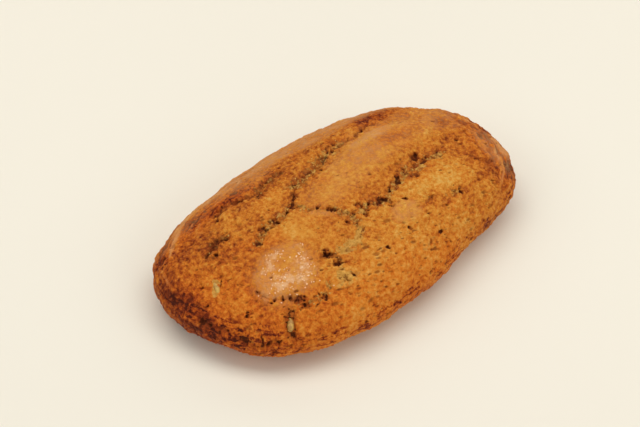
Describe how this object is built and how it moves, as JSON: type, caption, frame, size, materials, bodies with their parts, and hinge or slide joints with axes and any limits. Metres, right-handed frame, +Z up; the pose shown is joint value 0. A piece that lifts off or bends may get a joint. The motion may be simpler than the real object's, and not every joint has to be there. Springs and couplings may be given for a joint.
{
  "type": "mandel bread",
  "caption": "Oval piece of mandel bread, flat underneath, with a browned and cracked crown; a baked almond biscuit that rests on its base.",
  "frame": {"origin": "middle of the footprint's bounding box, on the plane of the flat base", "axes": "+X along the piece, towards the end with the wrinkled skin; +Y across it, towards the long crack; +Z up out of the cracked crown"},
  "size_m": [0.106, 0.0608, 0.0243],
  "materials": {
    "crust": "golden brown baked crust, matte with a faint sheen on the smooth plates"
  },
  "bodies": {
    "root": {"mandel_bread": "crust"}
  },
  "joints": []
}
